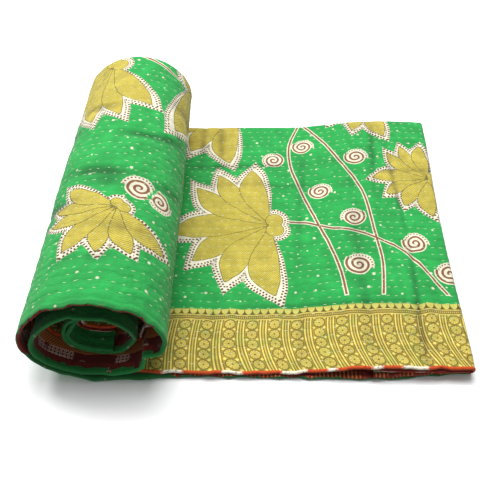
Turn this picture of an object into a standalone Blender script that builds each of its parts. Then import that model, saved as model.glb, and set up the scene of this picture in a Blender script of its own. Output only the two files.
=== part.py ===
"""A kantha quilt, folded in half along its length, tucked in at its right end and rolled up
at its left end. Two sari cloths lie on each other: the front cloth faces out of the fold and
the back cloth lines it. Both follow one surface, which runs from the lower near edge round
the fold at the far side to the upper near edge.

Metres, +Z up, +X along the flat part away from the roll, +Y away from the open edges."""

import math

import bmesh
import bpy
from mathutils import Vector

# Driving sizes
DEPTH = 0.500
ROLL_TO_TIP = 0.4625
CLOTH = 0.0021
SEAM_GAP = 0.0004
LAYER_PITCH = 0.0055
RIGHT_FLAP = 0.125
RIGHT_RISE = 0.105

# Sizes that follow
CLOTH_MIDDLE = (SEAM_GAP + CLOTH) / 2
HALF_QUILT = SEAM_GAP / 2 + CLOTH
SINGLE = LAYER_PITCH / 2
TIP_START = ROLL_TO_TIP - SINGLE - HALF_QUILT
FLAT_MIDDLE = SINGLE + HALF_QUILT

# The roll's section, by the far reach of the quilt's middle on each side in turn, from the
# outer turn inwards: heights under and over, and distances right and left of its middle.
BOTTOM_AND_TOP = (FLAT_MIDDLE, 0.1395, 0.0174, 0.1120, 0.0362, 0.0870, 0.0450)
RIGHT_AND_LEFT = (0.0830, -0.0830, 0.0830, -0.0692, 0.0450, -0.0300, 0.0140)
HALF_TURN = 180.0
QUARTER_TURN = 90.0
ROLL_END = 930.0
LEFT_FLAP_EDGE = 705.0
LEFT_RISE_START = 640.0
FAR_SQUEEZE = 0.080

# A crease pressed into the outer turn, low on its right at the near end
CREASE_TURN = 306.0
CREASE_REACH = 21.0
CREASE_DEEP = 0.0160
CREASE_LENGTH = 0.230

# Where the open near edges lie behind the flat part's edge.
# Columns: turn in degrees from the floor into the roll, lower edge, upper edge
ROLL_EDGES = (
    (930.0, 0.0160, 0.0400),
    (700.0, 0.0140, 0.0400),
    (560.0, -0.0030, 0.0400),
    (420.0, -0.0090, 0.0340),
    (90.0, -0.0060, 0.0300),
    (35.0, -0.0060, 0.0260),
    (0.0, -0.0080, 0.0130),
)
# Columns: distance along the flat part, lower edge, upper edge
FLAT_EDGES = (
    (0.000, -0.0080, 0.0130),
    (0.035, -0.0060, 0.0010),
    (0.120, 0.0000, 0.0000),
    (0.340, 0.0000, 0.0035),
    (0.460, 0.0110, 0.0045),
)

# Soft swells of the upper layer on the flat part.
# Columns: along the flat part, depth, reach along, reach in depth, height
SWELLS = (
    (0.170, 0.330, 0.070, 0.110, 0.0030),
    (0.270, 0.160, 0.060, 0.090, 0.0025),
    (0.220, 0.480, 0.080, 0.080, 0.0020),
    (0.400, 0.470, 0.090, 0.130, 0.0055),
)

# The swells start where the roll no longer presses on the flat part.
SWELL_START = 0.090
SWELL_FULL = 0.150

# Waviness of the roll's surface, the same on each turn.
# Columns: height, swings in a turn, start in radians, radians per metre of depth, start there
ROLL_WAVES = (
    (0.0012, 3, 1.0, 11.0, 0.0),
    (0.0012, 2, 0.0, 17.0, 2.0),
)
WAVES_START = 20.0
WAVES_FULL = 80.0

# The right fold bows in at the middle of its depth, and the doubled part reaches a little
# further at the far side than the rest.
BOW = 0.0040
BOW_START = 0.300
FAR_STEP = 0.0060
FAR_STEP_START = 0.250
FAR_STEP_FULL = 0.420

# Mesh steps. Columns: from turn, to turn, steps
ROLL_STEPS = (
    (930.0, 705.0, 14),
    (705.0, 640.0, 4),
    (640.0, 360.0, 18),
    (360.0, 325.0, 3),
    (325.0, 281.0, 8),
    (281.0, 0.0, 25),
)
FLAP_TURN_STEPS = 14
# Columns: from, to, steps
FLAT_STEPS = ((0.0, 0.230, 8), (0.230, 0.340, 5), (0.340, TIP_START, 4))
FLAP_STEPS = 4
TIP_STEPS = 4
LOWER_STEPS = 4
FOLD_STEPS = 4
UPPER_STEPS = 5
SLOPE_STEP = 0.5


def eased(value, start, end):
    """0 before start, 1 past end, and a soft step between them."""
    t = min(1.0, max(0.0, (value - start) / (end - start)))
    return t * t * (3 - 2 * t)


def row_value(rows, place, column):
    """The value of one column at this place, eased from row to row."""
    ordered = sorted(rows)
    if place <= ordered[0][0]:
        return ordered[0][column]
    for low, high in zip(ordered, ordered[1:]):
        if place <= high[0]:
            return low[column] + (high[column] - low[column]) * eased(place, low[0], high[0])
    return ordered[-1][column]


def swing(reaches, turn, first_turn):
    """A swing from each far reach to the next, half a turn apart."""
    halves = (turn - first_turn) / HALF_TURN
    index = min(len(reaches) - 2, max(0, int(halves)))
    part = (1 - math.cos(math.pi * (halves - index))) / 2
    return reaches[index] + (reaches[index + 1] - reaches[index]) * part


def section_point(turn, depth):
    """The roll's section without its crease: right of its middle, and up. It is narrower at
    the far end."""
    right = swing(RIGHT_AND_LEFT, turn, -QUARTER_TURN) * (1 - FAR_SQUEEZE * depth / DEPTH)
    up = swing(BOTTOM_AND_TOP, turn, 0.0)
    return Vector((right, 0.0, up))


def section_frame(point_at, turn, depth):
    """Tangent along the section, towards the flat part, and the normal into the roll."""
    before = point_at(turn - SLOPE_STEP, depth)
    tangent = (before - point_at(turn + SLOPE_STEP, depth)).normalized()
    return tangent, Vector((-tangent.z, 0.0, tangent.x))


def roll_point(turn, depth):
    """The quilt's middle in the roll, with its crease and its waves."""
    place = section_point(turn, depth)
    inward = section_frame(section_point, turn, depth)[1]
    crease = 0.0
    off = abs(turn - CREASE_TURN) / CREASE_REACH
    if off < 1:
        crease = CREASE_DEEP * (1 + math.cos(math.pi * off)) / 2
        crease *= 1 - eased(depth, 0.0, CREASE_LENGTH)
    angle = math.radians(turn)
    wave = 0.0
    for height, swings, start, per_metre, depth_start in ROLL_WAVES:
        wave += height * math.sin(swings * angle + start) * math.cos(per_metre * depth + depth_start)
    return place + inward * (crease + wave * eased(turn, WAVES_START, WAVES_FULL))


def layer_height(place):
    """How far each layer's middle lies from the quilt's middle: single, or double over a flap.
    The place is a distance along the flat part, or a turn in degrees below zero."""
    if place >= 0:
        start = ROLL_TO_TIP - RIGHT_FLAP - RIGHT_RISE
        return SINGLE + LAYER_PITCH * eased(place, start, start + RIGHT_RISE)
    return SINGLE + LAYER_PITCH * eased(-place, LEFT_RISE_START, LEFT_FLAP_EDGE)


def middle_frame(place, depth):
    """Point, tangent and normal of the quilt's middle at this place and depth."""
    if place >= 0:
        point = Vector((place, 0.0, layer_height(place) + HALF_QUILT))
        return point, Vector((1.0, 0.0, 0.0)), Vector((0.0, 0.0, 1.0))
    tangent, normal = section_frame(roll_point, -place, depth)
    return roll_point(-place, depth), tangent, normal


def near_edge(place, column):
    if place >= 0:
        return row_value(FLAT_EDGES, place, column)
    return row_value(ROLL_EDGES, -place, column)


def swell(place, depth):
    """Extra height of the upper layer on the flat part."""
    total = 0.0
    for along, deep, reach_along, reach_deep, height in SWELLS:
        off = ((place - along) / reach_along) ** 2 + ((depth - deep) / reach_deep) ** 2
        total += height * math.exp(-off)
    return total * eased(place, SWELL_START, SWELL_FULL)


def quilt_point(station, row):
    """A point of the surface between the two cloths.
    A station is a place along the quilt, a height of the layer and a way past that place.
    A row is a side from -1 below to 1 above, a share of the depth and a bulge at the fold."""
    place, height, beyond = station
    side, share, bulge = row
    near = near_edge(place, 1 if side < 0 else 2)
    fold = DEPTH - layer_height(place) - HALF_QUILT
    fold += FAR_STEP * eased(place, FAR_STEP_START, FAR_STEP_FULL)
    depth = near + (fold - near) * share + height * bulge
    point, tangent, normal = middle_frame(place, depth)
    off = height * side
    if place > 0:
        off += swell(place, depth) * (1 + side) / 2
        beyond -= BOW * eased(place, BOW_START, TIP_START) * math.sin(math.pi * depth / DEPTH) ** 2
    return point + tangent * beyond + normal * off + Vector((0.0, depth, 0.0))


def even_steps(start, end, steps):
    return [start + (end - start) * index / steps for index in range(steps)]


def stations():
    """From the left flap's edge round the left fold, through the roll and along the flat part,
    and round the right fold to the right flap's edge."""
    found = [(-turn, SINGLE, 0.0) for turn in even_steps(LEFT_FLAP_EDGE, ROLL_END, FLAP_TURN_STEPS)]
    for index in range(TIP_STEPS):
        angle = math.pi * (index / TIP_STEPS - 0.5)
        height = LAYER_PITCH + SINGLE * math.sin(angle)
        found.append((-ROLL_END, height, -SINGLE * math.cos(angle)))
    for start, end, steps in ROLL_STEPS:
        for turn in even_steps(start, end, steps):
            found.append((-turn, layer_height(-turn), 0.0))
    for start, end, steps in FLAT_STEPS:
        for place in even_steps(start, end, steps):
            found.append((place, layer_height(place), 0.0))
    for index in range(TIP_STEPS):
        angle = math.pi * (0.5 - index / TIP_STEPS)
        height = LAYER_PITCH + SINGLE * math.sin(angle)
        found.append((TIP_START, height, SINGLE * math.cos(angle)))
    flap_edge = ROLL_TO_TIP - RIGHT_FLAP
    found += [(place, SINGLE, 0.0) for place in even_steps(TIP_START, flap_edge, FLAP_STEPS)]
    found.append((flap_edge, SINGLE, 0.0))
    return found


def rows():
    """From the lower near edge round the far fold to the upper near edge."""
    found = [(-1.0, share, 0.0) for share in even_steps(0.0, 1.0, LOWER_STEPS)]
    for angle in even_steps(0.0, math.pi, FOLD_STEPS):
        found.append((-math.cos(angle), 1.0, math.sin(angle)))
    found += [(1.0, share, 0.0) for share in even_steps(1.0, 0.0, UPPER_STEPS)]
    found.append((1.0, 0.0, 0.0))
    return found


def cloth_material(name, colour):
    material = bpy.data.materials.new(name)
    material.use_nodes = True
    shader = material.node_tree.nodes["Principled BSDF"]
    shader.inputs["Base Color"].default_value = (*colour, 1.0)
    shader.inputs["Roughness"].default_value = 0.85
    shader.inputs["Metallic"].default_value = 0.0
    return material


def cloth(name, grid, offset, colour):
    """One cloth: the grid moved out along its normals to the cloth's middle, then thickened."""
    mesh = bpy.data.meshes.new(name)
    sheet = bmesh.new()
    lines = [[sheet.verts.new(point) for point in line] for line in grid]
    for line, after in zip(lines, lines[1:]):
        for index in range(len(line) - 1):
            sheet.faces.new((line[index], line[index + 1], after[index + 1], after[index]))
    sheet.normal_update()
    moved = [(vert, vert.co + vert.normal * offset) for vert in sheet.verts]
    for vert, place in moved:
        vert.co = place
    sheet.to_mesh(mesh)
    sheet.free()
    mesh.shade_smooth()
    mesh.materials.append(cloth_material(name, colour))
    thing = bpy.data.objects.new(name, mesh)
    bpy.context.scene.collection.objects.link(thing)
    thick = thing.modifiers.new("Thickness", "SOLIDIFY")
    thick.thickness = CLOTH
    thick.offset = 0.0
    return thing


def centre_on_floor(things):
    """Puts the middle of the quilt's outline over the origin, with its lower layer on the floor."""
    bpy.context.view_layer.update()
    graph = bpy.context.evaluated_depsgraph_get()
    corners = [Vector(corner) for thing in things for corner in thing.evaluated_get(graph).bound_box]
    middle_x = (min(c.x for c in corners) + max(c.x for c in corners)) / 2
    middle_y = (min(c.y for c in corners) + max(c.y for c in corners)) / 2
    for thing in things:
        thing.location = (-middle_x, -middle_y, 0.0)


def main():
    for thing in list(bpy.data.objects):
        bpy.data.objects.remove(thing)
    grid = [[quilt_point(station, row) for row in rows()] for station in stations()]
    front = cloth("front_cloth", grid, CLOTH_MIDDLE, (0.03, 0.26, 0.08))
    back = cloth("back_cloth", grid, -CLOTH_MIDDLE, (0.42, 0.05, 0.02))
    centre_on_floor((front, back))


main()
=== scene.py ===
"""Looks of a kantha quilt: two sari cloths with hand quilting, folded in half, tucked in at
one end and rolled up at the other. Metres, +Z up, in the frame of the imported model."""

import functools
import math

import bpy
import numpy as np
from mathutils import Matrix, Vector


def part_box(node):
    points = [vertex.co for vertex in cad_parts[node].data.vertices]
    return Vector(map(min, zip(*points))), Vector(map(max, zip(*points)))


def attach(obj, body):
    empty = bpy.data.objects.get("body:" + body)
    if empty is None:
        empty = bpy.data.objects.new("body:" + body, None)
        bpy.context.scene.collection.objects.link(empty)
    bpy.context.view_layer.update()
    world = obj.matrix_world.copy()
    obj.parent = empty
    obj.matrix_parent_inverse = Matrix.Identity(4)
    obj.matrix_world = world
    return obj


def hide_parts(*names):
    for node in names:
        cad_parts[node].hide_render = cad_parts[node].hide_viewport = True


bl_info = {
    "name": "Rolled kantha quilt",
    "version": (1, 0, 0),
    "blender": (4, 5, 0),
    "location": "View3D > Sidebar > Quilt",
    "description": "Makes the cloths, hems, hand stitches and prints of a rolled kantha quilt",
    "category": "Add Mesh",
}

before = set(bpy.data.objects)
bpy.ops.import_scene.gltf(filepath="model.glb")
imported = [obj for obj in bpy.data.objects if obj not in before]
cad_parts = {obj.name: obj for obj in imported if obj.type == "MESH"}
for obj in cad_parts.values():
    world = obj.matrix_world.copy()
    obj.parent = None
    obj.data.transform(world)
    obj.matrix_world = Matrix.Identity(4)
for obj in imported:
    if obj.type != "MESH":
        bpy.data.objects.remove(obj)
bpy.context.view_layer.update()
CLOTH_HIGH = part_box("front_cloth")[1]

# Driving sizes of the folded and rolled quilt
DEPTH = 0.500
ROLL_TO_TIP = 0.4625
CLOTH = 0.0021
SEAM_GAP = 0.0004
LAYER_PITCH = 0.0055
RIGHT_FLAP = 0.125
RIGHT_RISE = 0.105
HALF_QUILT = SEAM_GAP / 2 + CLOTH
SINGLE = LAYER_PITCH / 2
TIP_START = ROLL_TO_TIP - SINGLE - HALF_QUILT
FLAT_MIDDLE = SINGLE + HALF_QUILT
RIGHT_FLAP_EDGE = ROLL_TO_TIP - RIGHT_FLAP

# The roll's section, by the far reach of the quilt's middle on each side in turn
BOTTOM_AND_TOP = (FLAT_MIDDLE, 0.1395, 0.0174, 0.1120, 0.0362, 0.0870, 0.0450)
RIGHT_AND_LEFT = (0.0830, -0.0830, 0.0830, -0.0692, 0.0450, -0.0300, 0.0140)
HALF_TURN = 180.0
QUARTER_TURN = 90.0
ROLL_END = 930.0
LEFT_FLAP_EDGE = 705.0
LEFT_RISE_START = 640.0
FAR_SQUEEZE = 0.080

# A crease pressed into the outer turn, low on its right at the near end
CREASE_TURN = 306.0
CREASE_REACH = 21.0
CREASE_DEEP = 0.0160
CREASE_LENGTH = 0.230

# Where the open near edges lie behind the flat part's edge. A place is a distance along the
# flat part, or a turn of the roll in degrees below zero.
# Columns: place, lower edge, upper edge
NEAR_EDGES = (
    (-930.0, 0.0160, 0.0400),
    (-700.0, 0.0140, 0.0400),
    (-560.0, -0.0030, 0.0400),
    (-420.0, -0.0090, 0.0340),
    (-90.0, -0.0060, 0.0300),
    (-35.0, -0.0060, 0.0260),
    (0.000, -0.0080, 0.0130),
    (0.035, -0.0060, 0.0010),
    (0.120, 0.0000, 0.0000),
    (0.340, 0.0000, 0.0035),
    (0.460, 0.0110, 0.0045),
)

# Soft swells of the upper layer on the flat part.
# Columns: along, depth, reach along, reach in depth, height
SWELLS = (
    (0.170, 0.330, 0.070, 0.110, 0.0030),
    (0.270, 0.160, 0.060, 0.090, 0.0025),
    (0.220, 0.480, 0.080, 0.080, 0.0020),
    (0.400, 0.470, 0.090, 0.130, 0.0055),
)
SWELL_START = 0.090
SWELL_FULL = 0.150

# Waviness of the roll, the same on each turn.
# Columns: height, swings in a turn, start in radians, radians per metre of depth, start there
ROLL_WAVES = (
    (0.0012, 3, 1.0, 11.0, 0.0),
    (0.0012, 2, 0.0, 17.0, 2.0),
)
WAVES_START = 20.0
WAVES_FULL = 80.0

BOW = 0.0040
BOW_START = 0.300
FAR_STEP = 0.0060
FAR_STEP_START = 0.250
FAR_STEP_FULL = 0.420
SLOPE_STEP = 0.5

# Runs of stations along the quilt, from the left flap's edge through the roll and the flat
# part to the right flap's edge.
# Columns: kind, from place, to place, steps, kept by the lower half, kept by the upper half
STATION_RUNS = (
    ("flap", -LEFT_FLAP_EDGE, -ROLL_END, 20, 1, 1),
    ("left tip", -ROLL_END, -ROLL_END, 8, 1, 1),
    ("main", -ROLL_END, -360.0, 60, 1, 1),
    ("main", -360.0, 0.0, 156, 1, 4),
    ("main", 0.0, 0.060, 20, 4, 4),
    ("main", 0.060, TIP_START, 128, 4, 1),
    ("right tip", TIP_START, TIP_START, 12, 1, 1),
    ("flap", TIP_START, RIGHT_FLAP_EDGE, 12, 1, 1),
)
MAIN_RUNS = slice(2, 6)
NEAR_INSETS = (0.0, 0.0015, 0.0030, 0.0045, 0.0070, 0.0095, 0.0120, 0.0140)
FIRST_SHARE = 0.036
SHARE_STEPS = 140
FOLD_STEPS = 8
BACK_ROW_STEP = 4

# Hems. At the upper edge the back cloth turns over the front cloth, and at the lower edge the
# front cloth turns over the back cloth.
HEM_LIFT = 0.00045
HEM_ARC_STEPS = 6
UPPER_HEM_ROWS = 1
LOWER_HEM_ROWS = 7

# Soft troughs and ridges pressed in by hand, along the cloth and back from the near side.
# Columns: along, depth, half length, half width, direction in degrees, height
FOLDS = (
    (-0.214, 0.226, 0.036, 0.0085, 8.0, -0.0032),
    (-0.232, 0.203, 0.032, 0.0100, 4.0, -0.0014),
    (-0.262, 0.309, 0.026, 0.0070, -6.0, -0.0024),
    (-0.256, 0.284, 0.032, 0.0095, -3.0, 0.0016),
    (-0.300, 0.318, 0.016, 0.0075, -12.0, -0.0024),
    (-0.185, 0.378, 0.031, 0.0090, 12.0, -0.0016),
    (-0.250, 0.120, 0.040, 0.0090, 5.0, -0.0012),
    (-0.225, 0.066, 0.060, 0.0070, 2.0, -0.0009),
    (-0.310, 0.215, 0.026, 0.0110, -15.0, -0.0018),
    (-0.325, 0.400, 0.029, 0.0120, 15.0, -0.0018),
    (-0.318, 0.330, 0.020, 0.0080, 70.0, -0.0016),
    (-0.150, 0.175, 0.034, 0.0120, 5.0, -0.0022),
    (-0.137, 0.330, 0.039, 0.0110, -10.0, -0.0020),
    (0.403, 0.330, 0.085, 0.0048, 95.0, -0.0019),
    (0.409, 0.170, 0.070, 0.0050, 88.0, -0.0017),
    (0.415, 0.270, 0.160, 0.0070, 92.0, 0.0012),
    (0.372, 0.420, 0.070, 0.0050, 88.0, -0.0018),
    (0.425, 0.375, 0.050, 0.0045, 3.0, -0.0014),
    (0.335, 0.200, 0.150, 0.0080, 91.0, -0.0011),
    (0.255, 0.300, 0.120, 0.0070, 87.0, -0.0011),
    (0.100, 0.450, 0.060, 0.0060, 90.0, -0.0018),
    (0.130, 0.460, 0.060, 0.0060, 92.0, -0.0014),
    (0.170, 0.395, 0.090, 0.0060, 2.0, -0.0016),
    (0.200, 0.350, 0.100, 0.0070, -3.0, -0.0009),
    (0.300, 0.107, 0.140, 0.0050, 1.0, -0.0012),
    (0.405, 0.060, 0.055, 0.0060, 90.0, -0.0022),
    (0.417, 0.060, 0.055, 0.0060, 90.0, 0.0018),
    (0.250, 0.050, 0.060, 0.0050, 84.0, -0.0010),
)
# Folds this deep get the full painted shade in their troughs
DEEPEST_FOLD = 0.0030
FLAP_STEP_HEIGHT = 0.0010
FLAP_STEP_REACH = 0.010

# Puckers that the rows of stitches draw into the cloth
PUCKER_HEIGHT = 0.00040
PUCKER_START = 0.004
PUCKER_FADE = 0.012

# Small waves along the open edges. Columns: height, length, start in radians
EDGE_RUFFLES = (
    (0.00080, 0.0530, 0.0),
    (0.00050, 0.0330, 1.3),
    (0.00030, 0.0187, 2.1),
)
RUFFLE_REACH = 0.018
RUFFLE_LIFT = 0.7
RUFFLE_SHIFT = 1.3
ROLL_RUFFLE = 1.1
ROLL_RUFFLE_FULL = 0.080

# Crumples of the whole quilt: ridged waves in many directions, with painted shade in their troughs
CRUMPLE_COUNT = 14
CRUMPLE_LENGTHS = (0.020, 0.062)
CRUMPLE_BENDS = (0.004, 0.012)
CRUMPLE_BEND_LENGTHS = 2.7
CRUMPLE_HEIGHT = 0.0014
CRUMPLE_GAIN = 3.4
CRUMPLE_SEED = 8
CRUMPLE_SHADE = 0.42
CRUMPLE_START = 0.030
CRUMPLE_FULL = 0.090

# Print places are in the upper half's own view: along the quilt, and from the hemmed upper
# edge. The roll shows the lower half: distance back from the flat part, and from its edge.
# Columns: half, along, from edge, heading in degrees, size, mirrored
FLOWERS = (
    ("upper", 0.210, 0.255, 180.0, 1.03, False),
    ("upper", 0.457, 0.343, 174.0, 0.62, False),
    ("upper", 0.152, 0.526, 174.0, 1.00, False),
    ("upper", 0.388, 0.537, 180.0, 0.74, False),
    ("lower", 0.197, 0.473, 228.0, 1.00, True),
    ("lower", 0.247, 0.156, 227.0, 0.64, False),
    ("lower", 0.334, 0.494, -24.0, 1.25, False),
)

# One flower, with its heading along its middle petal.
# Columns: angle, reach, belly on the right and on the left of the way to the tip
PETALS = (
    (27.5, 0.127, 0.0210, 0.0170),
    (0.0, 0.143, 0.0220, 0.0220),
    (-31.0, 0.136, 0.0120, 0.0230),
    (-49.0, 0.133, 0.0130, 0.0180),
    (-71.0, 0.121, 0.0170, 0.0210),
    (55.0, 0.123, 0.0230, 0.0170),
    (88.0, 0.132, 0.0270, 0.0150),
)
LOBES = ((-0.0060, -0.0095, 0.0125), (-0.0070, 0.0095, 0.0130))
PETAL_PROFILE = ((0.0, 0.0), (0.20, 0.42), (0.42, 0.86), (0.62, 1.02), (0.79, 0.88), (0.92, 0.40),
                 (1.0, 0.0))
BAND_PROFILE = ((0.0, 0.0), (0.20, 0.42), (0.42, 0.86), (0.60, 1.02), (0.75, 0.90), (0.88, 0.44),
                (0.96, 0.11), (1.0, 0.0))
PETAL_STEPS = 3
TIP_HOOK = 0.0125

# A flower's distances are worked out this near to it, and are far away elsewhere
FLOWER_REACH = 0.20
FLOWER_MARGIN = 0.03
FAR_AWAY = 0.05

# The cream band round a flower is made of bigger petals and lobes under the gold ones
BAND_WIDE = 0.0096
BAND_REACH = 1.16
BAND_HOOK = 0.0255
DOT_PITCH = 0.0052
DOT_RADIUS = 0.0015
OUTER_DOTS = 0.0021
INNER_DOTS = 0.0066
HATCH_PITCH = 0.0036

# Vines. Columns: along, from edge
VINE_FAR = ((0.268, 0.540), (0.257, 0.491), (0.241, 0.439), (0.242, 0.388), (0.255, 0.337),
            (0.275, 0.270), (0.295, 0.208), (0.307, 0.159), (0.312, 0.117), (0.316, 0.080))
VINE_RIGHT = ((0.210, 0.560), (0.262, 0.491), (0.296, 0.437), (0.320, 0.386), (0.341, 0.340),
              (0.354, 0.296), (0.362, 0.225), (0.367, 0.172), (0.362, 0.115), (0.358, 0.080))
VINE_CROSS = ((0.200, 0.258), (0.235, 0.263), (0.266, 0.257), (0.297, 0.243), (0.334, 0.233),
              (0.366, 0.215), (0.399, 0.193), (0.424, 0.158), (0.446, 0.118), (0.465, 0.080))
VINE_ROLL = ((0.150, 0.524), (0.206, 0.502), (0.246, 0.488), (0.300, 0.466))
VINE_STEPS = 12
VINE_END = 0.1125
VINE_STOP = 0.1143
VINE_HALF = 0.0015
VINE_CREAM_HALF = 0.0030

# Curls. Columns: half, along, from edge, size, angle of the outer end, turning
CURLS = (
    ("upper", 0.215, 0.402, 0.95, 20.0, -1),
    ("upper", 0.262, 0.433, 0.95, 200.0, 1),
    ("upper", 0.345, 0.392, 1.00, 205.0, 1),
    ("upper", 0.333, 0.261, 1.00, -20.0, -1),
    ("upper", 0.286, 0.323, 0.95, 200.0, 1),
    ("upper", 0.333, 0.168, 1.10, 195.0, 1),
    ("upper", 0.418, 0.206, 1.05, 215.0, 1),
    ("upper", 0.458, 0.151, 1.10, 215.0, 1),
    ("lower", 0.269, 0.198, 1.20, -45.0, -1),
    ("lower", 0.297, 0.186, 0.98, 150.0, -1),
)
CURL_SIZE = 0.0166
CURL_FAR = 1.7
CURL_GAP = 0.22
CURL_PITCH = 0.43
CURL_START = 0.92
CURL_TAIL = 0.84
CURL_LINE = 0.225
CURL_DOTS = 24.0
CURL_DOTS_OUT = 0.32
CURL_DOTS_CREAM = 0.50
CURL_DOTS_MIDDLE = 0.61
CURL_DOTS_REACH = 0.22

# The woven border, by distances from the hemmed edge, with its rosettes in columns
BORDER = 0.0985
LADDER_LOW = 0.0800
LADDER_HIGH = 0.0895
BORDER_SKEW_TOP = 0.085
BORDER_DRIFT = 0.0035
LEAN_PER_METRE = 0.022
LEAN_STEP_PLACE = 0.155
LEAN_STEP = 0.013
LEAN_BACK = 0.005
COLUMN_PITCH = 0.0290
ROSE_PITCH = 0.0155
ROSE_RADIUS = 0.0070
ROSE_SPOKES = 10.0
ROSE_PETALS = 0.0063
ROSE_HEART = 0.0012
SPOT_ASIDE = 0.0066
SPOT_SIZE = 0.0022
TICK_PITCH = 0.0026
SCALLOP_PITCH = 0.0104
SCALLOP_HALF = 0.0049
SCALLOP_HIGH = 0.0088

# The lower hem's colours: its deep green, a painted shade over the rim, starts inside the edge,
# and its red past it
GREEN_INSIDE = 0.0035
RED_PAST = 0.0145
RED_SOONER_ON_TOP = 0.0115
RED_SOONER_ON_FLAT = 0.0085
RED_WAVES = 0.010
FLAT_HEM = 0.085
FLAP_HEM = ROLL_TO_TIP + 0.012
UNDER_ROLL_HEM = -0.120
TOP_HEM_START = -0.33
TOP_HEM_END = -0.09
GOLD_BAR_PITCH = 0.0050

# Painted shade: the roll's inner turns are darker from this place inwards
INNER_TURN = -0.440

# The back cloth's fine bars, in rows, and its lace band inside the lower hem
BAR_PITCH = 0.0034
BAR_LEAN = 0.6
BAR_ROW_PITCH = 0.042
LACE_PITCH = 0.0048
LACE_ROW_PITCH = 0.0044
LACE_WIDTH = 0.0250
LACE_MIDDLE = 0.0200
LACE_LINES = 0.0048
LACE_TOOTH_PITCH = 0.0030

# Widths of soft edges in the prints
SOFT = 0.0005
FINE = 0.0004

# Running stitches
MISSED_STITCHES = 0.10
STITCH_JITTER = 0.0018
ROW_SWAY = 0.0011
ROW_SWAY_PER_METRE = 23.0
ROW_SWAY_SHIFT = 1.7
ROW_SIDE = 0.0008
WAY_STEP = 0.002
STITCH_SIDE = 0.0009
STITCH_TURN = 0.14
STITCH_SHARES = (0.55, 1.25)
THREAD_FLATNESS = 0.8
LENGTH_SEED = 3
FIRST_ROW_SEED = 11

# Where rows of stitches are sewn.
# Columns: piece, from along, to along, from across, to across, as shares of the half width
STITCH_AREAS = (
    ("flat_stitches", 0.060, ROLL_TO_TIP + 0.008, 0.012, 1.0),
    ("roll_stitches", -0.475, 0.030, 1.0, 1.985),
    ("under_stitches", 0.030, ROLL_TO_TIP - 0.008, 1.0, 1.985),
)

# The floor, the lights and the camera
WHITE_FLOOR = (0.97, 0.97, 0.98)
KEY_PLACE = (-1.1, 0.45, 1.5)
KEY_SIZE = 0.6
ABOVE_PLACE = (0.0, 0.50, 2.3)
ABOVE_SIZE = 1.8
CAMERA_PLACE = (0.0100, -0.8126, 0.8031)
CAMERA_TILT = 44.36
CAMERA_TURN = 1.13
CAMERA_LENS = 56.06
SENSOR = 36.0
FLOOR_SIZE = 12.0
FLOOR_DROP = 0.0004


def eased(value, start, end):
    """0 before start, 1 past end, and a soft step between them."""
    t = np.clip((value - start) / (end - start), 0.0, 1.0)
    return t * t * (3 - 2 * t)


def unit(vectors):
    return vectors / np.maximum(np.linalg.norm(vectors, axis=-1, keepdims=True), 1e-12)


def near_edge(place, column):
    """How far back an open near edge lies at this place, eased from row to row."""
    value = np.full(np.shape(place), NEAR_EDGES[0][column])
    for low, high in zip(NEAR_EDGES, NEAR_EDGES[1:]):
        value = value + (high[column] - low[column]) * eased(place, low[0], high[0])
    return value


def swing(reaches, turn, first_turn):
    """A swing from each far reach to the next, half a turn apart."""
    halves = (turn - first_turn) / HALF_TURN
    index = np.clip(np.floor(halves).astype(int), 0, len(reaches) - 2)
    part = (1 - np.cos(np.pi * (halves - index))) / 2
    reach = np.array(reaches)
    return reach[index] + (reach[index + 1] - reach[index]) * part


def section_point(turn, depth):
    """The roll's section without its crease: right of its middle, and up."""
    right = swing(RIGHT_AND_LEFT, turn, -QUARTER_TURN) * (1 - FAR_SQUEEZE * depth / DEPTH)
    up = swing(BOTTOM_AND_TOP, turn, 0.0)
    return np.stack(np.broadcast_arrays(right, 0.0, up), axis=-1)


def section_frame(point_at, turn, depth):
    """Tangent along the section, towards the flat part, and the normal into the roll."""
    before = point_at(turn - SLOPE_STEP, depth)
    tangent = unit(before - point_at(turn + SLOPE_STEP, depth))
    normal = np.stack([-tangent[..., 2], np.zeros(tangent.shape[:-1]), tangent[..., 0]], -1)
    return tangent, normal


def pressed_folds(along, depth):
    """The sum of the soft ridges and troughs, each long and narrow."""
    total = 0.0
    for middle, deep, half_length, half_width, direction, height in FOLDS:
        c, s = math.cos(math.radians(direction)), math.sin(math.radians(direction))
        length = ((along - middle) * c + (depth - deep) * s) / half_length
        width = ((depth - deep) * c - (along - middle) * s) / half_width
        total = total + height * np.exp(-width**2 - length**2)
    return total


def roll_point(turn, depth):
    """The quilt's middle in the roll, with its crease and its waves."""
    inward = section_frame(section_point, turn, depth)[1]
    off = np.clip(np.abs(turn - CREASE_TURN) / CREASE_REACH, 0.0, 1.0)
    shift = CREASE_DEEP * (1 + np.cos(np.pi * off)) / 2 * (1 - eased(depth, 0.0, CREASE_LENGTH))
    angle = np.radians(turn)
    for height, swings, start, per_metre, depth_start in ROLL_WAVES:
        wave = height * np.sin(swings * angle + start) * np.cos(per_metre * depth + depth_start)
        shift = shift + wave * eased(turn, WAVES_START, WAVES_FULL)
    return section_point(turn, depth) + inward * shift[..., None]


def layer_height(place):
    """How far each layer's middle lies from the quilt's middle: single, or double over a flap."""
    start = RIGHT_FLAP_EDGE - RIGHT_RISE
    right = eased(place, start, RIGHT_FLAP_EDGE)
    left = eased(-place, LEFT_RISE_START, LEFT_FLAP_EDGE)
    return SINGLE + LAYER_PITCH * (right + left)


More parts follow.
